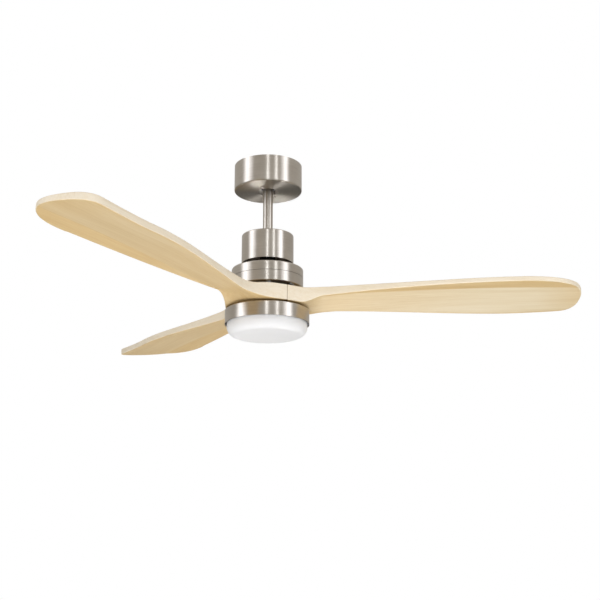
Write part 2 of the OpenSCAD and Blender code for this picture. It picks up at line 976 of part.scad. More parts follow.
// Outline of the straight part of the blade
function lead_edge(u) = mix(chord_lead, neck_lead, left_to(u, lead_full_u, 2));
function trail_edge(u) = -mix(neck_trail, chord_trail, ease(part(u, trail_start_u, trail_full_u)));

// Heights and thicknesses along the two edges
function lead_bottom(u) = lead_rise - lead_sink * left_to(u, lead_level_u, 1.5);
function trail_bottom(u) = -trail_drop - trail_sink * left_to(u, trail_level_u, 2)
    + trail_tip_lift * pow(max(part(u, trail_level_u, tip_u), 0), 1.5);
function lead_thick(u) = lead_edge_t + lead_neck_extra_t * left_to(u, lead_thin_u, 2);
function trail_thick(u) = trail_edge_t + trail_neck_extra_t * left_to(u, trail_thin_u, 2);

// Share of the way from the crease to the trailing edge; the band ahead of the crease is level
function slope_share(u, t) =
    let (lead = lead_edge(u), trail = trail_edge(u),
         crease = min(crease_t, lead - crease_band * (lead - trail)))
    clamp((crease - t) / (crease - trail));
function in_blade(u) = ease(part(u, flat_u, flat_u + twist_l));
function under(p) =
    mix(-hub_t / 2, mix(lead_bottom(p[0]), trail_bottom(p[0]), slope_share(p[0], p[1])), in_blade(p[0]));
function over(p) =
    let (lead = lead_bottom(p[0]) + lead_thick(p[0]), trail = trail_bottom(p[0]) + trail_thick(p[0]))
    mix(hub_t / 2, mix(lead, trail, slope_share(p[0], p[1])), in_blade(p[0]));

function bezier(a, b, c, d, s) =
    pow(1 - s, 3) * a + 3 * s * pow(1 - s, 2) * b + 3 * s * s * (1 - s) * c + pow(s, 3) * d;
function seam_point(r, side) = r * [cos(seam_angle), side * sin(seam_angle)];
function seam_handle(side) =
    seam_point(hub_r, side) + fillet_handle * [sin(seam_angle), -side * cos(seam_angle) * 1.05];
function tip_point(l, power, width, q) =
    [tip_u - l + l * pow(sin(q), 2 / power), tip_t + width * pow(cos(q), 2 / power)];

// The parts of an edge, from the hub to the tip: the seam, the fillet and the rounded tip
function root_line(side) =
    [for (i = [0:root_steps - 1]) seam_point(mix(root_bore_r - 4, hub_r, i / root_steps), side)];
function fillet_line(side, neck_point, end_point) =
    [for (i = [0:fillet_steps - 1])
        bezier(seam_point(hub_r, side), seam_handle(side), neck_point, end_point, i / fillet_steps)];
function tip_line(l, power, width) =
    [for (i = [0:tip_steps]) tip_point(l, power, width, min(i * 90 / tip_steps, 88))];

// The two edges of the blade, point for point
function lead_side() = concat(
    root_line(1),
    fillet_line(1, lead_neck_point, [lead_fillet_u, lead_edge(lead_fillet_u)]),
    [for (i = [0:span_steps - 1])
        let (u = mix(lead_fillet_u, tip_u - lead_tip_l, i / span_steps))
        [u, lead_edge(u)]],
    tip_line(lead_tip_l, lead_tip_power, chord_lead - tip_t));
function trail_side() = concat(
    root_line(-1),
    fillet_line(-1, trail_neck_point, [trail_fillet_u, trail_edge(trail_fillet_u)]),
    [for (i = [0:span_steps - 1])
        let (u = mix(trail_fillet_u, tip_u - trail_tip_l, i / span_steps))
        [u, trail_edge(u)]],
    tip_line(trail_tip_l, trail_tip_power, -chord_trail - tip_t));

// Points across one section, from the leading to the trailing edge, with a few close to the crease
function crease_share(a, b) = max(0.1, min(0.8, (a[1] - crease_t) / (a[1] - b[1])));
function section_line(a, b) =
    let (c = crease_share(a, b))
    [for (f = [0, c - 0.05, c, c + 0.05, (1 + c) / 2, 1]) mix(a, b, f)];

module blade_solid() {
    lead = lead_side();
    trail = trail_side();
    count = len(lead);
    lines = [for (i = [0:count - 1]) section_line(lead[i], trail[i])];
    across = len(lines[0]);
    around_n = 2 * across;
    points = [for (line = lines) each concat(
        [for (p = line) [p[0], -p[1], under(p)]],
        [for (k = [across - 1:-1:0]) [line[k][0], -line[k][1], over(line[k])]])];
    function quad(a, b, c, d) = [[a, b, c], [a, c, d]];
    sides = [for (i = [0:count - 2], k = [0:around_n - 1])
        let (a = i * around_n + k, b = i * around_n + (k + 1) % around_n)
        each quad(a, b, b + around_n, a + around_n)];
    last = (count - 1) * around_n;
    ends = [for (k = [0:across - 2])
        let (top = around_n - 1 - k)
        each concat(quad(k, top, top - 1, k + 1),
                    quad(last + k, last + k + 1, last + top - 1, last + top))];
    polyhedron(points, concat(sides, ends), convexity = 6);
}

module blade(index) color(maple) {
    rotate([0, 0, index * blade_step])
        difference() {
            translate([0, 0, hub_z])
                blade_solid();
            bar(root_bore_r, root_z + 1, hub_t + 2);
            at_blade_screws() {
                bar(blade_screw_hole_r, root_z + 1, hub_t + 2);
                countersink(blade_plate_z);
            }
        }
}

module blade_1() blade(0);

module blade_2() blade(1);

module blade_3() blade(2);

ceiling_bracket();
canopy();
canopy_screws();
receiver_box();
terminal_block();
hanger_ball();
ball_pin();
ball_set_screw();
downrod();
lead_connector();
coupling_cover();
cover_collar();
collar_screw();
motor_coupling();
coupling_pin();
pin_clip();
coupling_screws();
motor_shaft();
stator_core();
stator_windings();
sensor_board();
motor_leads();
light_cable();
shaft_circlip();
shaft_spacer();
light_housing();
shaft_nut();
led_driver();
board_standoffs();
led_board();
leds();
board_screws();
bayonet_clips();
motor_top_shell();
motor_bottom_shell();
rotor_back_iron();
rotor_magnets();
upper_bearing();
lower_bearing();
housing_screws();
blade_spacers();
blade_1();
blade_2();
blade_3();
blade_plate();
blade_screws();
diffuser();
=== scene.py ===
"""Three-blade ceiling fan with a round light: brushed nickel, carved pale wood and opal acrylic."""
import json
import math

import bmesh
import bpy
from mathutils import Matrix, Vector


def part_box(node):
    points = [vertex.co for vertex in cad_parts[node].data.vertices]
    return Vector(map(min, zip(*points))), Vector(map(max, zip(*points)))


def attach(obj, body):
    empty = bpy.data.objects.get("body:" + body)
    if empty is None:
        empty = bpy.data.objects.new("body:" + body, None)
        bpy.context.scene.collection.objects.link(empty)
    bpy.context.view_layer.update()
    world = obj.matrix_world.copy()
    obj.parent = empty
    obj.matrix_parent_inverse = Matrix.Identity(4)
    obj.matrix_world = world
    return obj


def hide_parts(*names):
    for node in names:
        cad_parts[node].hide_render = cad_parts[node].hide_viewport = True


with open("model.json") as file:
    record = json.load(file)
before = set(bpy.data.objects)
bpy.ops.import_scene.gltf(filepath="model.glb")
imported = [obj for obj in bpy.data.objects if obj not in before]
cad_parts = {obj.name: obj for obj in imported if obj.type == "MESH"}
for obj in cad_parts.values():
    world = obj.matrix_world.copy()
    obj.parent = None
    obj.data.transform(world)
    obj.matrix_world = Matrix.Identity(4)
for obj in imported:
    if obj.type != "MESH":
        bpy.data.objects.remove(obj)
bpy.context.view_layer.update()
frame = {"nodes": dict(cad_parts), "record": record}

MM = 0.001


# ---------------------------------------------------------------- colour and material tools

def tone(hex_colour):
    """sRGB hex to the linear colour that a shader socket takes."""
    channels = [int(hex_colour[i:i + 2], 16) / 255 for i in (1, 3, 5)]
    linear = [c / 12.92 if c <= 0.04045 else ((c + 0.055) / 1.055) ** 2.4 for c in channels]
    return (*linear, 1.0)


def per_metre(size_mm):
    """Texture scale that gives a pattern with features of this size."""
    return 1000.0 / size_mm


def add(tree, kind, inputs=None, **settings):
    """Adds a node, sets its settings, and fills its inputs with values or with links from other sockets."""
    made = tree.nodes.new(kind)
    for key, value in settings.items():
        setattr(made, key, value)
    for name, value in (inputs or {}).items():
        if isinstance(value, bpy.types.NodeSocket):
            tree.links.new(value, made.inputs[name])
        else:
            made.inputs[name].default_value = value
    return made


def ramp(tree, factor, stops):
    """Colour ramp from (position, hex) stops."""
    made = add(tree, "ShaderNodeValToRGB", {"Fac": factor})
    elements = made.color_ramp.elements
    while len(elements) < len(stops):
        elements.new(0.5)
    for element, (position, hex_colour) in zip(elements, stops):
        element.position = position
        element.color = tone(hex_colour)
    return made.outputs["Color"]


def spread(tree, value, low, high, start=0.0, end=1.0):
    """A value that runs from start to end, stretched to run from low to high."""
    return add(tree, "ShaderNodeMapRange", {
        "Value": value, "From Min": start, "From Max": end, "To Min": low, "To Max": high,
    }).outputs["Result"]


def object_place(tree):
    return add(tree, "ShaderNodeTexCoord").outputs["Object"]


def stored(tree, name, output="Fac"):
    """A value that the mesh keeps at each of its points."""
    return add(tree, "ShaderNodeAttribute", attribute_name=name).outputs[output]


def compute(tree, operation, *values):
    return add(tree, "ShaderNodeMath", dict(enumerate(values)), operation=operation).outputs["Value"]


def scaled(tree, vector, factors):
    return add(tree, "ShaderNodeVectorMath", {0: vector, 1: factors}, operation="MULTIPLY").outputs["Vector"]


def part_of(tree, vector, axis):
    return add(tree, "ShaderNodeSeparateXYZ", {"Vector": vector}).outputs[axis]


def distance_from_axis(tree, place):
    flat = scaled(tree, place, (1.0, 1.0, 0.0))
    return add(tree, "ShaderNodeVectorMath", {0: flat}, operation="LENGTH").outputs["Value"]


def blend(tree, factor, first, second):
    """Colour that goes from the first to the second as the factor goes from 0 to 1."""
    mixed = add(tree, "ShaderNodeMix", {"Factor": factor, "A": first, "B": second}, data_type="RGBA")
    return mixed.outputs["Result"]


def relief(tree, height, strength, depth_mm):
    return add(tree, "ShaderNodeBump", {
        "Height": height, "Strength": strength, "Distance": depth_mm * MM,
    }).outputs["Normal"]


def new_material(name):
    material = bpy.data.materials.new(name)
    material.use_nodes = True
    material.node_tree.nodes.clear()
    return material, material.node_tree


def close_material(tree, inputs):
    shader = add(tree, "ShaderNodeBsdfPrincipled", inputs)
    add(tree, "ShaderNodeOutputMaterial", {"Surface": shader.outputs["BSDF"]})


def noise(tree, vector, scale, detail=3.0, roughness=0.5, distortion=0.0):
    return add(tree, "ShaderNodeTexNoise", {"Vector": vector, "Scale": scale, "Detail": detail,
                                            "Roughness": roughness, "Distortion": distortion}).outputs["Fac"]


def bands(tree, vector, size_mm, distortion):
    """Level bands, one above the other; a wave texture repeats 20 times in a unit."""
    return add(tree, "ShaderNodeTexWave", {
        "Vector": vector, "Scale": per_metre(size_mm) / 20, "Distortion": distortion,
    }, bands_direction="Z").outputs["Fac"]


# ---------------------------------------------------------------- materials

def satin_nickel_turned():
    """Nickel plate on steel, brushed while it turns: fine rings round the axis, highlights across them."""
    brush_mm, stroke_mm, cloud_mm = 1.6, 60.0, 45.0
    usual_radius_m = 0.07
    material, tree = new_material("satin_nickel_turned")
    place = object_place(tree)
    angle = compute(tree, "ARCTAN2", part_of(tree, place, "Y"), part_of(tree, place, "X"))
    along = compute(tree, "MULTIPLY", angle, usual_radius_m * brush_mm / stroke_mm)
    rings = add(tree, "ShaderNodeCombineXYZ", {
        "X": distance_from_axis(tree, place), "Y": along, "Z": part_of(tree, place, "Z"),
    }).outputs["Vector"]
    strokes = noise(tree, rings, per_metre(brush_mm), 4.0, 0.65)
    cloud = noise(tree, place, per_metre(cloud_mm), 2.0)
    mottle = compute(tree, "MULTIPLY", compute(tree, "ADD", strokes, cloud), 0.5)
    bump = relief(tree, strokes, 0.12, 0.05)
    tangent = add(tree, "ShaderNodeTangent", direction_type="RADIAL", axis="Z").outputs["Tangent"]
    close_material(tree, {
        "Base Color": ramp(tree, mottle, [(0.3, "#beb6ac"), (0.7, "#d7d0c7")]),
        "Metallic": 1.0,
        "Roughness": spread(tree, strokes, 0.24, 0.36),
        "Anisotropic": 0.85,
        "Anisotropic Rotation": 0.25,
        "Tangent": tangent,
        "Normal": bump,
    })
    return material


def bright_zinc_plate():
    """Zinc-plated turned and stamped steel: cold grey, clouded, lightly scuffed."""
    grain_mm, cloud_mm = 0.5, 6.0
    material, tree = new_material("bright_zinc_plate")
    place = object_place(tree)
    grain = noise(tree, place, per_metre(grain_mm), 2.0)
    cloud = noise(tree, place, per_metre(cloud_mm), 4.0, 0.6)
    bump = relief(tree, grain, 0.1, 0.05)
    close_material(tree, {
        "Base Color": ramp(tree, cloud, [(0.3, "#94989c"), (0.7, "#b0b3b6")]),
        "Metallic": 1.0,
        "Roughness": spread(tree, cloud, 0.22, 0.42),
        "Normal": bump,
    })
    return material


def powder_coat_black():
    """Powder coat on a zinc die casting: an even orange-peel skin with a low sheen."""
    peel_mm = 0.9
    material, tree = new_material("powder_coat_black")
    place = object_place(tree)
    peel = noise(tree, place, per_metre(peel_mm), 1.0)
    bump = relief(tree, peel, 0.35, 0.08)
    close_material(tree, {
        "Base Color": ramp(tree, peel, [(0.3, "#121212"), (0.7, "#1d1d1c")]),
        "Roughness": spread(tree, peel, 0.42, 0.56),
        "Normal": bump,
    })
    return material


def nylon_moulded_black():
    """Glass-filled nylon, moulded: a spark-eroded matt texture."""
    spark_mm = 0.4
    material, tree = new_material("nylon_moulded_black")
    place = object_place(tree)
    spark = noise(tree, place, per_metre(spark_mm), 2.0, 0.7)
    bump = relief(tree, spark, 0.4, 0.06)
    close_material(tree, {
        "Base Color": ramp(tree, spark, [(0.3, "#161616"), (0.7, "#242424")]),
        "Roughness": spread(tree, spark, 0.5, 0.68),
        "IOR": 1.53,
        "Normal": bump,
    })
    return material


def polycarbonate_moulded_white():
    """White polycarbonate, moulded: smooth and slightly uneven in tone where it filled."""
    flow_mm = 14.0
    material, tree = new_material("polycarbonate_moulded_white")
    place = object_place(tree)
    flow = noise(tree, place, per_metre(flow_mm), 3.0)
    close_material(tree, {
        "Base Color": ramp(tree, flow, [(0.3, "#dedcd6"), (0.7, "#ebeae6")]),
        "Roughness": spread(tree, flow, 0.36, 0.48),
        "IOR": 1.58,
    })
    return material


def silicon_steel_laminated():
    """Stack of silicon steel sheets with an oil film: thin lines at each sheet."""
    sheet_mm, oil_mm = 0.5, 9.0
    material, tree = new_material("silicon_steel_laminated")
    place = object_place(tree)
    sheets = bands(tree, place, sheet_mm, 0.4)
    oil = noise(tree, place, per_metre(oil_mm), 3.0)
    bump = relief(tree, sheets, 0.3, 0.05)
    close_material(tree, {
        "Base Color": ramp(tree, oil, [(0.3, "#6d6e70"), (0.7, "#8b8c8d")]),
        "Metallic": 1.0,
        "Roughness": spread(tree, sheets, 0.32, 0.5),
        "Normal": bump,
    })
    return material


def ferrite_ground():
    """Sintered ferrite, ground to size: dark grey, dull, faintly speckled."""
    speck_mm = 0.7
    material, tree = new_material("ferrite_ground")
    place = object_place(tree)
    speck = noise(tree, place, per_metre(speck_mm), 2.0, 0.7)
    close_material(tree, {
        "Base Color": ramp(tree, speck, [(0.35, "#37373a"), (0.65, "#4b4b4e")]),
        "Metallic": 0.2,
        "Roughness": spread(tree, speck, 0.5, 0.7),
    })
    return material


def copper_enamelled_wound():
    """Enamelled copper wire in tight turns: rows of round wire with a varnish gloss."""
    wire_mm = 0.8
    material, tree = new_material("copper_enamelled_wound")
    place = object_place(tree)
    turns = bands(tree, place, wire_mm, 0.6)
    bump = relief(tree, turns, 0.8, 0.3)
    close_material(tree, {
        "Base Color": ramp(tree, turns, [(0.1, "#7a3a1c"), (0.8, "#c9743f")]),
        "Metallic": 0.9,
        "Roughness": spread(tree, turns, 0.25, 0.4),
        "Coat Weight": 0.5,
        "Normal": bump,
    })
    return material


def solder_mask_green():
    """Glass-epoxy board under green solder mask: the weave shows faintly through the gloss."""
    weave_mm = 0.8
    material, tree = new_material("solder_mask_green")
    place = object_place(tree)
    weave = add(tree, "ShaderNodeTexChecker", {"Vector": place, "Scale": per_metre(weave_mm)}).outputs["Fac"]
    close_material(tree, {
        "Base Color": ramp(tree, weave, [(0.0, "#0e4427"), (1.0, "#155533")]),
        "Roughness": spread(tree, weave, 0.28, 0.34),
    })
    return material


def pvc_extruded_black():
    """Extruded PVC jacket: fine die lines, a soft satin."""
    die_mm = 0.6
    material, tree = new_material("pvc_extruded_black")
    place = object_place(tree)
    lines = noise(tree, scaled(tree, place, (1.0, 1.0, 0.05)), per_metre(die_mm), 2.0)
    close_material(tree, {
        "Base Color": ramp(tree, lines, [(0.3, "#141414"), (0.7, "#20201f")]),
        "Roughness": spread(tree, lines, 0.4, 0.55),
    })
    return material


def solder_mask_white():
    """Aluminium board under white solder mask: bright, even, with a slight gloss."""
    coat_mm = 5.0
    material, tree = new_material("solder_mask_white")
    place = object_place(tree)
    coat = noise(tree, place, per_metre(coat_mm), 2.0)
    close_material(tree, {
        "Base Color": ramp(tree, coat, [(0.3, "#e6e6e1"), (0.7, "#f0f0ec")]),
        "Roughness": spread(tree, coat, 0.3, 0.4),
    })
    return material


def phosphor_silicone_cast():
    """Silicone filled with phosphor, cast over the chips: warm yellow, soft."""
    grain_mm = 0.3
    material, tree = new_material("phosphor_silicone_cast")
    place = object_place(tree)
    grain = noise(tree, place, per_metre(grain_mm), 2.0)
    close_material(tree, {
        "Base Color": ramp(tree, grain, [(0.3, "#e3c552"), (0.7, "#f1d873")]),
        "Roughness": spread(tree, grain, 0.3, 0.42),
        "IOR": 1.42,
    })
    return material


def acrylic_opal_moulded():
    """Opal acrylic, moulded and satin: milky white that lets light travel a few millimetres inside."""
    milk_mm, satin_mm = 60.0, 0.8
    material, tree = new_material("acrylic_opal_moulded")
    place = object_place(tree)
    milk = noise(tree, place, per_metre(milk_mm), 2.0)
    satin = noise(tree, place, per_metre(satin_mm), 1.0)
    bump = relief(tree, satin, 0.05, 0.02)
    close_material(tree, {
        "Base Color": ramp(tree, milk, [(0.3, "#edeeef"), (0.7, "#f1f2f3")]),
        "Roughness": spread(tree, satin, 0.3, 0.38),
        "IOR": 1.49,
        "Subsurface Weight": 0.4,
        "Subsurface Radius": (4.0, 4.0, 3.6),
        "Subsurface Scale": 1.0 * MM,
        "Normal": bump,
    })
    return material


def bearing_steel_ground():
    """Hardened bearing steel, ground: bright, with hairline rings round the axis."""
    ring_mm = 0.4
    material, tree = new_material("bearing_steel_ground")
    place = object_place(tree)
    rings = add(tree, "ShaderNodeCombineXYZ", {"X": distance_from_axis(tree, place)}).outputs["Vector"]
    hairline = noise(tree, rings, per_metre(ring_mm), 2.0)
    close_material(tree, {
        "Base Color": ramp(tree, hairline, [(0.3, "#c3c5c7"), (0.7, "#d8dadb")]),
        "Metallic": 1.0,
        "Roughness": spread(tree, hairline, 0.12, 0.24),
    })
    return material


def maple_sanded_lacquered():
    """Maple under matt lacquer: straight fine grain along the blade, broad figure; painted light makes the
    narrow faces and the sloped underside paler, and painted shade makes the level underside a darker gold.
    """
    figure_mm, ring_mm, fibre_mm = 38.0, 5.0, 1.3
    figure_run, ring_run, fibre_run = 14.0, 50.0, 45.0
    figure_share, ring_share, fibre_share = 0.35, 0.35, 0.3
    # How far the normal points up or down on a level, a sloped, a wide and a narrow face; these choose where
    # the wood gets painted light or painted shade
    level_tilt, sloped_tilt, wide_tilt, narrow_tilt = 0.9975, 0.986, 0.9, 0.5
    # Where along the blade the painted light on the sloped face starts and ends, and how much of it there is
    # nearer the axis
    painted_light_start, painted_light_end, least_painted_light = 0.15, 0.7, 0.35
    material, tree = new_material("maple_sanded_lacquered")
    board = stored(tree, "board", "Vector")

    def along_grain(run, size_mm, roughness, distortion=0.0):
        stretched = scaled(tree, board, (1.0 / run, 1.0, 1.0))
        return noise(tree, stretched, per_metre(size_mm), 3.0, roughness, distortion)

    figure = along_grain(figure_run, figure_mm, 0.55, 0.6)
    rings = along_grain(ring_run, ring_mm, 0.6, 0.3)
    fibres = along_grain(fibre_run, fibre_mm, 0.7)
    broad = compute(tree, "MULTIPLY", figure, figure_share)
    with_rings = compute(tree, "MULTIPLY_ADD", rings, ring_share, broad)
    grain = compute(tree, "MULTIPLY_ADD", fibres, fibre_share, with_rings)
    # The wood in three tones by the way a face points: painted shade on the level underside, painted light on
    # the sloped underside and on the narrow faces
    shaded_level_tone, lit_sloped_tone, lit_narrow_tone = [
        ramp(tree, grain, [(0.34, dark), (0.5, middle), (0.66, light)]) for dark, middle, light in (
            ("#cfae74", "#dabc86", "#e3ca99"),
            ("#dac69f", "#e3d3b2", "#eaddc2"),
            ("#ecdcbe", "#f4e7d0", "#f8efdc"),
        )]
    normal = add(tree, "ShaderNodeTexCoord").outputs["Normal"]
    level = compute(tree, "ABSOLUTE", part_of(tree, normal, "Z"))
    slope = spread(tree, level, 0.0, 1.0, level_tilt, sloped_tilt)
    narrow = spread(tree, level, 0.0, 1.0, wide_tilt, narrow_tilt)
    # Painted light on the sloped face: weaker near the axis, strongest towards the tip, and set per blade
    painted_light_outward = spread(tree, stored(tree, "reach"), least_painted_light, 1.0, painted_light_start, painted_light_end)
    sloped_painted_light_share = compute(tree, "MULTIPLY", painted_light_outward, stored(tree, "sloped_painted_light"))
    wide_faces_painted_light = blend(tree, compute(tree, "MULTIPLY", slope, sloped_painted_light_share), shaded_level_tone, lit_sloped_tone)
    wood = blend(tree, narrow, wide_faces_painted_light, lit_narrow_tone)
    colour = blend(tree, stored(tree, "glue"), wood, tone("#6b4a28"))
    bump = relief(tree, fibres, 0.25, 0.08)
    close_material(tree, {
        "Base Color": colour,
        "Roughness": spread(tree, grain, 0.42, 0.56),
        "IOR": 1.5,
        "Coat Weight": 0.15,
        "Coat Roughness": 0.35,
        "Normal": bump,
    })
    return material


MAKERS = {
    "brushed_nickel": satin_nickel_turned,
    "zinc_steel": bright_zinc_plate,
    "black_casting": powder_coat_black,
    "black_nylon": nylon_moulded_black,
    "white_plastic": polycarbonate_moulded_white,
    "lamination_steel": silicon_steel_laminated,
    "ferrite": ferrite_ground,
    "copper_wire": copper_enamelled_wound,
    "circuit_board": solder_mask_green,
    "cable_jacket": pvc_extruded_black,
    "board_white": solder_mask_white,
    "led_phosphor": phosphor_silicone_cast,
    "opal_acrylic": acrylic_opal_moulded,
    "bearing_steel": bearing_steel_ground,
    "pale_wood": maple_sanded_lacquered,
}


def finish_nodes(finishes):
    """Gives every CAD piece the material of its slot."""
    for row in frame["record"]["subparts"]:
        mesh = frame["nodes"][row["node"]].data
        mesh.materials.clear()
        mesh.materials.append(finishes[row["material_slot"]])


# ---------------------------------------------------------------- carved blades
# A blade point is (u, t) in millimetres: u along the blade from the axis, t across it, positive towards the
# leading edge. Heights are measured from the middle plane of the joined roots.

BLADE_COUNT = 3
# How strongly painted light pales the sloped face of each blade, and the step in the wood grain from one
# blade to the next
SLOPED_PAINTED_LIGHT_STRENGTH = (1.0, 0.25, 0.35)
PLANK_STEP = Vector((0.9, 0.21, 0.13))
SEAM_ANGLE = math.radians(180 / BLADE_COUNT)
TIP_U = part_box("blade_1")[1].x / MM
ROOT_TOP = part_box("blade_spacers")[0].z / MM
ROOT_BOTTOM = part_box("blade_plate")[1].z / MM
HUB_Z = (ROOT_TOP + ROOT_BOTTOM) / 2
HUB_T = ROOT_TOP - ROOT_BOTTOM
BORE_R = 24.0
HUB_R = 87.0
CHORD_LEAD, CHORD_TRAIL = 93.0, 83.5
NECK_LEAD, NECK_TRAIL = 38.0, 29.0
LEAD_RISE, TRAIL_DROP = 18.0, 5.5
CREASE_T = 44.0
LEAD_EDGE_T, TRAIL_EDGE_T = 9.8, 14.0
TIP_T = -30.0
LEAD_TIP_L, LEAD_TIP_POWER = 138.0, 2.45
TRAIL_TIP_L, TRAIL_TIP_POWER = 38.0, 2.6
NECK_U = 100.0
LEAD_FULL_U = TIP_U - 67
TRAIL_START_U, TRAIL_FULL_U = 50.0, TIP_U - 174
LEAD_FILLET_U, TRAIL_FILLET_U = 128.0, 145.0
FILLET_HANDLE, FILLET_LEAN = 36.0, 1.05
FILLET_FIRST, FILLET_SPACING = 0.006, 1.3
LEAD_NECK_POINT, TRAIL_NECK_POINT = Vector((94, NECK_LEAD + 1)), Vector((102, -NECK_TRAIL - 7))
FLAT_U, TWIST_L = 68.0, 52.0
LEAD_SINK, LEAD_LEVEL_U = 17.2, TIP_U - 140
TRAIL_SINK, TRAIL_LEVEL_U = 8.6, TIP_U - 160
TRAIL_TIP_LIFT = 8.0
LEAD_NECK_EXTRA_T, LEAD_THIN_U = 9.8, 400.0
TRAIL_NECK_EXTRA_T, TRAIL_THIN_U = 9.5, 350.0
CREASE_BAND, CREASE_LAST = 0.12, 0.8
CREASE_SOFT = 0.008
CREASE_LINE = 0.01
EDGE_R = 1.8
SEAM_R = 0.8
SEAM_FADE = 12.0
EDGE_ARC = [math.radians(a) for a in (0, 18, 36, 54, 72, 90)]
WELD = 0.002 * MM
SHARP_ANGLE = math.radians(32)

# Steps of the mesh along one side of a blade, and across it ahead of the crease and behind it
ROOT_STEPS, FILLET_STEPS, SPAN_STEPS, TIP_STEPS = 6, 26, 70, 36
AHEAD, BEHIND = 6, 14


def mix(a, b, f):
    return a + (b - a) * f


def share(u, start, end):
    return (u - start) / (end - start)


def ease(x):
    x = max(0.0, min(1.0, x))
    return x * x * (3 - 2 * x)


def left_to(u, far, power):
    """What is left of the way from the neck to a place further out."""
    return max(1 - share(u, NECK_U, far), 0.0) ** power


def lead_edge(u):
    return mix(CHORD_LEAD, NECK_LEAD, left_to(u, LEAD_FULL_U, 2))


def trail_edge(u):
    return -mix(NECK_TRAIL, CHORD_TRAIL, ease(share(u, TRAIL_START_U, TRAIL_FULL_U)))


def lead_bottom(u):
    return LEAD_RISE - LEAD_SINK * left_to(u, LEAD_LEVEL_U, 1.5)


def trail_bottom(u):
    lift = TRAIL_TIP_LIFT * max(share(u, TRAIL_LEVEL_U, TIP_U), 0.0) ** 1.5
    return -TRAIL_DROP - TRAIL_SINK * left_to(u, TRAIL_LEVEL_U, 2) + lift


def lead_thick(u):
    return LEAD_EDGE_T + LEAD_NECK_EXTRA_T * left_to(u, LEAD_THIN_U, 2)


def trail_thick(u):
    return TRAIL_EDGE_T + TRAIL_NECK_EXTRA_T * left_to(u, TRAIL_THIN_U, 2)


def slope_share(p):
    """0 on the level band ahead of the crease, rising to 1 at the trailing edge; the crease is soft."""
    lead, trail = lead_edge(p.x), trail_edge(p.x)
    crease = min(CREASE_T, lead - CREASE_BAND * (lead - trail))
    straight = min((crease - p.y) / (crease - trail), 1.0)
    return (straight + math.sqrt(straight * straight + CREASE_SOFT ** 2)) / 2


def under(p):
    carved = mix(lead_bottom(p.x), trail_bottom(p.x), slope_share(p))
    return mix(-HUB_T / 2, carved, ease(share(p.x, FLAT_U, FLAT_U + TWIST_L)))


def over(p):
    lead = lead_bottom(p.x) + lead_thick(p.x)
    trail = trail_bottom(p.x) + trail_thick(p.x)
    return mix(HUB_T / 2, mix(lead, trail, slope_share(p)), ease(share(p.x, FLAT_U, FLAT_U + TWIST_L)))


def bezier(a, b, c, d, s):
    return a * (1 - s) ** 3 + b * 3 * s * (1 - s) ** 2 + c * 3 * s * s * (1 - s) + d * s ** 3


def seam_point(r, side):
    return Vector((math.cos(SEAM_ANGLE), side * math.sin(SEAM_ANGLE))) * r


def tip_point(length, power, width, q):
    return Vector((TIP_U - length + length * math.sin(q) ** (2 / power),
                   TIP_T + width * max(math.cos(q), 0.0) ** (2 / power)))


def blade_side(side, neck_point, edge, fillet_u, tip_l, tip_power, chord):
    """One edge of the blade from the bore to the tip, as points in plan."""
    corner = seam_point(HUB_R, side)
    lean = -side * math.cos(SEAM_ANGLE) * FILLET_LEAN
    handle = corner + Vector((math.sin(SEAM_ANGLE), lean)) * FILLET_HANDLE
    fillet_end = Vector((fillet_u, edge(fillet_u)))
    root = [seam_point(mix(BORE_R, HUB_R - SEAM_R, i / ROOT_STEPS), side) for i in range(ROOT_STEPS + 1)]
    fillet = [bezier(corner, handle, neck_point, fillet_end,
                     mix(FILLET_FIRST, 1, (i / FILLET_STEPS) ** FILLET_SPACING))
              for i in range(FILLET_STEPS)]
    span = [Vector((u, edge(u))) for u in
            (mix(fillet_u, TIP_U - tip_l, i / SPAN_STEPS) for i in range(SPAN_STEPS))]
    tip = [tip_point(tip_l, tip_power, chord - TIP_T, i / TIP_STEPS * math.pi / 2)
           for i in range(TIP_STEPS + 1)]
    return root + fillet + span + tip


def inward(points, side):
    """Unit normals in plan, pointing into the blade."""
    normals = []
    for i in range(len(points)):
        before, after = points[max(i - 1, 0)], points[min(i + 1, len(points) - 1)]
        run = (after - before).normalized()
        normals.append(Vector((run.y, -run.x)) * side)
    normals[-1] = Vector((-1.0, 0.0))
    return normals


def column_shares(a, b):
    """Places across a section for the lines of the mesh, with three of them on the crease."""
    crease = min(max((a.y - CREASE_T) / max(a.y - b.y, 1.0), CREASE_BAND), CREASE_LAST)
    ahead = [mix(0, crease - CREASE_LINE, k / AHEAD) for k in range(1, AHEAD + 1)]
    behind = [mix(crease + CREASE_LINE, 1, k / BEHIND) for k in range(BEHIND)]
    return ahead + [crease] + behind


def rounding(edge, inward_step, radius, face, up):
    """Points round one edge of a section, from the narrow face to a wide one; up is 1 below and -1 above."""
    points = []
    for q in EDGE_ARC:
        p = edge + inward_step * radius * (1 - math.cos(q))
        points.append((p, face(p) + up * radius * (1 - math.sin(q))))
    return points


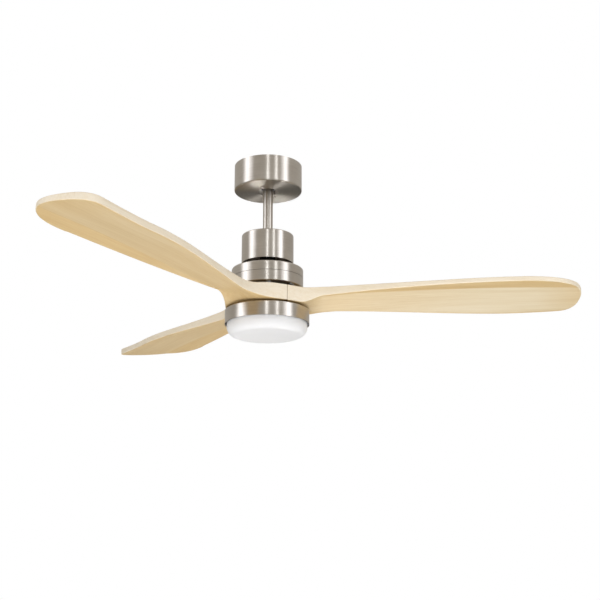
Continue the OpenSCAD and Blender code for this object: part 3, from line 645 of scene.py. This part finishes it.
def blade_mesh(number):
    """One carved blade, turned to its place.

    It keeps at its points: glue, 1 where the root meets its neighbours; board, the place in the timber that
    it was cut from;
    reach, 0 at the axis and 1 at the tip; and a per-blade share of painted light that pales the sloped face.
    """
    lead = blade_side(1, LEAD_NECK_POINT, lead_edge, LEAD_FILLET_U, LEAD_TIP_L, LEAD_TIP_POWER, CHORD_LEAD)
    trail = blade_side(-1, TRAIL_NECK_POINT, trail_edge, TRAIL_FILLET_U,
                       TRAIL_TIP_L, TRAIL_TIP_POWER, -CHORD_TRAIL)
    lead_in, trail_in = inward(lead, 1), inward(trail, -1)
    mesh = bmesh.new()
    glued = mesh.verts.layers.float.new("glue")
    loops = []
    for i, (a, b) in enumerate(zip(lead, trail)):
        past_seam = max(0.0, min(a.length, b.length) - HUB_R) if i > ROOT_STEPS else 0.0
        radius = mix(SEAM_R, EDGE_R, ease(past_seam / SEAM_FADE)) if i > ROOT_STEPS else SEAM_R
        bore_share = 1 - min(i / ROOT_STEPS, 1.0)

        def across(f):
            """A point across the blade; near the bore it follows the bore's own curve."""
            start, end = a + lead_in[i] * radius, b + trail_in[i] * radius
            line = start.lerp(end, f)
            turn = mix(math.atan2(start.y, start.x), math.atan2(end.y, end.x), f)
            return line.lerp(Vector((math.cos(turn), math.sin(turn))) * a.length, bore_share)

        columns = [across(f) for f in column_shares(a, b)]
        loop = rounding(a, lead_in[i], radius, under, 1)
        loop += [(p, under(p)) for p in columns]
        loop += reversed(rounding(b, trail_in[i], radius, under, 1))
        loop += rounding(b, trail_in[i], radius, over, -1)
        loop += [(p, over(p)) for p in reversed(columns)]
        loop += reversed(rounding(a, lead_in[i], radius, over, -1))
        ring = [mesh.verts.new((p.x * MM, -p.y * MM, (HUB_Z + z) * MM)) for p, z in loop]
        for vertex in ring:
            vertex[glued] = 1.0 if i <= ROOT_STEPS else 0.0
        loops.append(ring)
    count = len(loops[0])
    for first, second in zip(loops, loops[1:]):
        for k in range(count):
            mesh.faces.new((first[k], first[(k + 1) % count], second[(k + 1) % count], second[k]))
    half = count // 2
    bore = loops[0]
    for k in range(half - 1):
        mesh.faces.new((bore[k + 1], bore[k], bore[count - 1 - k], bore[count - 2 - k]))
    bmesh.ops.remove_doubles(mesh, verts=mesh.verts, dist=WELD)
    bmesh.ops.dissolve_degenerate(mesh, edges=mesh.edges, dist=WELD)
    bmesh.ops.recalc_face_normals(mesh, faces=mesh.faces)
    made = bpy.data.meshes.new("carved_blade")
    mesh.to_mesh(made)
    mesh.free()
    for name, kind in (("board", "FLOAT_VECTOR"), ("reach", "FLOAT"), ("sloped_painted_light", "FLOAT")):
        made.attributes.new(name, kind, "POINT")
    places = [vertex.co.copy() for vertex in made.vertices]
    for point, place in zip(made.attributes["board"].data, places):
        point.vector = place + PLANK_STEP * number
    for point, place in zip(made.attributes["reach"].data, places):
        point.value = place.x / (TIP_U * MM)
    # Per-blade strength of the painted light on the sloped face
    for point in made.attributes["sloped_painted_light"].data:
        point.value = SLOPED_PAINTED_LIGHT_STRENGTH[number]
    made.transform(Matrix.Rotation(2 * math.pi * number / BLADE_COUNT, 4, "Z"))
    made.shade_smooth()
    made.set_sharp_from_angle(angle=SHARP_ANGLE)
    return made


def carve_blades(finish):
    for number in range(BLADE_COUNT):
        node = f"blade_{number + 1}"
        mesh = blade_mesh(number)
        mesh.materials.append(finish)
        blade = bpy.data.objects.new(f"carved_{node}", mesh)
        bpy.context.scene.collection.objects.link(blade)
        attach(blade, "rotor")
        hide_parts(node)


# ---------------------------------------------------------------- studio

FAN_MIDDLE = Vector((0, 0, -0.24))
CAMERA_PLACE = Vector((0.0841, -2.2531, -0.9165))
CAMERA_YAW, CAMERA_PITCH = math.radians(-0.39), math.radians(15.34)
LENS_MM, SENSOR_MM = 66.83, 36.0


def strip_light(name, azimuth, elevation, distance, width, height, power, colour, shine=True, soft=True):
    """A panel aimed at the fan. Azimuth 0 is the camera's side, positive to the right.

    shine is off for a panel that metal doesn't mirror, soft for one that doesn't light matt surfaces.
    """
    a, e = math.radians(azimuth), math.radians(elevation)
    away = Vector((math.sin(a) * math.cos(e), -math.cos(a) * math.cos(e), math.sin(e)))
    data = bpy.data.lights.new(name, "AREA")
    data.shape = "RECTANGLE"
    data.size, data.size_y = width, height
    data.energy = power
    data.color = tone(colour)[:3]
    lamp = bpy.data.objects.new(name, data)
    bpy.context.scene.collection.objects.link(lamp)
    lamp.location = FAN_MIDDLE + away * distance
    lamp.rotation_mode = "QUATERNION"
    lamp.rotation_quaternion = (-away).to_track_quat("-Z", "Y")
    lamp.visible_camera = False
    lamp.visible_glossy = shine
    lamp.visible_diffuse = soft


def light_studio():
    strip_light("left_panel", -70, 14, 2.5, 1.5, 2.4, 11, "#eef4ff", soft=False)
    strip_light("left_core", -72, 14, 2.4, 0.7, 2.4, 6.5, "#eef4ff", soft=False)
    strip_light("right_panel", 60, 14, 2.5, 1.1, 2.4, 8.5, "#eef4ff", soft=False)
    strip_light("right_core", 62, 14, 2.4, 0.5, 2.4, 5.5, "#eef4ff", soft=False)
    strip_light("front_strip", 1, 16, 2.4, 0.16, 2.0, 4, "#f2f8ff", soft=False)
    strip_light("side_strip", 29, 16, 2.4, 0.2, 2.0, 4, "#f2f8ff", soft=False)
    strip_light("low_left", -173, -32, 2.4, 0.06, 0.06, 1.7, "#ffffff", soft=False)
    strip_light("low_right", 165, -47, 2.4, 0.06, 0.06, 3.3, "#ffffff", soft=False)
    strip_light("left_fill", -40, -6, 3.0, 1.8, 1.6, 25, "#fdfdff", shine=False)
    strip_light("right_fill", 44, -6, 3.0, 1.8, 1.6, 29, "#fdfdff", shine=False)
    strip_light("floor_fill", 0, -80, 2.0, 3.0, 3.0, 34, "#fdfdff", shine=False)
    world = bpy.data.worlds.new("studio")
    bpy.context.scene.world = world
    world.use_nodes = True
    tree = world.node_tree
    tree.nodes.clear()
    look = add(tree, "ShaderNodeTexCoord").outputs["Generated"]
    height = part_of(tree, look, "Z")
    level = spread(tree, height, 0.0, 1.0, -1.0, 1.0)
    room = ramp(tree, level, [(0.30, "#535350"), (0.46, "#8f8c87"), (0.62, "#bdbab4"), (0.9, "#d8d5d0")])
    room_light = add(tree, "ShaderNodeBackground", {"Color": room, "Strength": 1.0})
    backdrop = add(tree, "ShaderNodeBackground", {"Color": tone("#ffffff"), "Strength": 1.0})
    seen = add(tree, "ShaderNodeLightPath").outputs["Is Camera Ray"]
    sky = add(tree, "ShaderNodeMixShader", {"Fac": seen, 1: room_light.outputs[0], 2: backdrop.outputs[0]})
    add(tree, "ShaderNodeOutputWorld", {"Surface": sky.outputs[0]})
    bpy.context.scene.view_settings.view_transform = "Standard"


def lay_floor():
    """A pale floor, a room's height under the ceiling."""
    half, drop = 3.0, -2.6
    mesh = bpy.data.meshes.new("floor")
    mesh.from_pydata([(-half, -half, drop), (half, -half, drop), (half, half, drop), (-half, half, drop)], [],
                     [(0, 1, 2, 3)])
    material, tree = new_material("painted_floor")
    place = object_place(tree)
    mottle = noise(tree, place, per_metre(300), 2.0)
    close_material(tree, {
        "Base Color": ramp(tree, mottle, [(0.3, "#e9e8e6"), (0.7, "#eeedeb")]),
        "Roughness": 0.8,
    })
    mesh.materials.append(material)
    floor = bpy.data.objects.new("floor", mesh)
    bpy.context.scene.collection.objects.link(floor)


def place_camera():
    """Below the fan and a little to the right, looking up at it."""
    level = math.cos(CAMERA_PITCH)
    look = Vector((math.sin(CAMERA_YAW) * level, math.cos(CAMERA_YAW) * level, math.sin(CAMERA_PITCH)))
    data = bpy.data.cameras.new("camera")
    data.lens, data.sensor_width = LENS_MM, SENSOR_MM
    camera = bpy.data.objects.new("camera", data)
    bpy.context.scene.collection.objects.link(camera)
    camera.location = CAMERA_PLACE
    camera.rotation_mode = "QUATERNION"
    camera.rotation_quaternion = look.to_track_quat("-Z", "Y")
    bpy.context.scene.camera = camera


finishes = {slot: make() for slot, make in MAKERS.items()}
finish_nodes(finishes)
carve_blades(finishes["pale_wood"])
light_studio()
lay_floor()
place_camera()
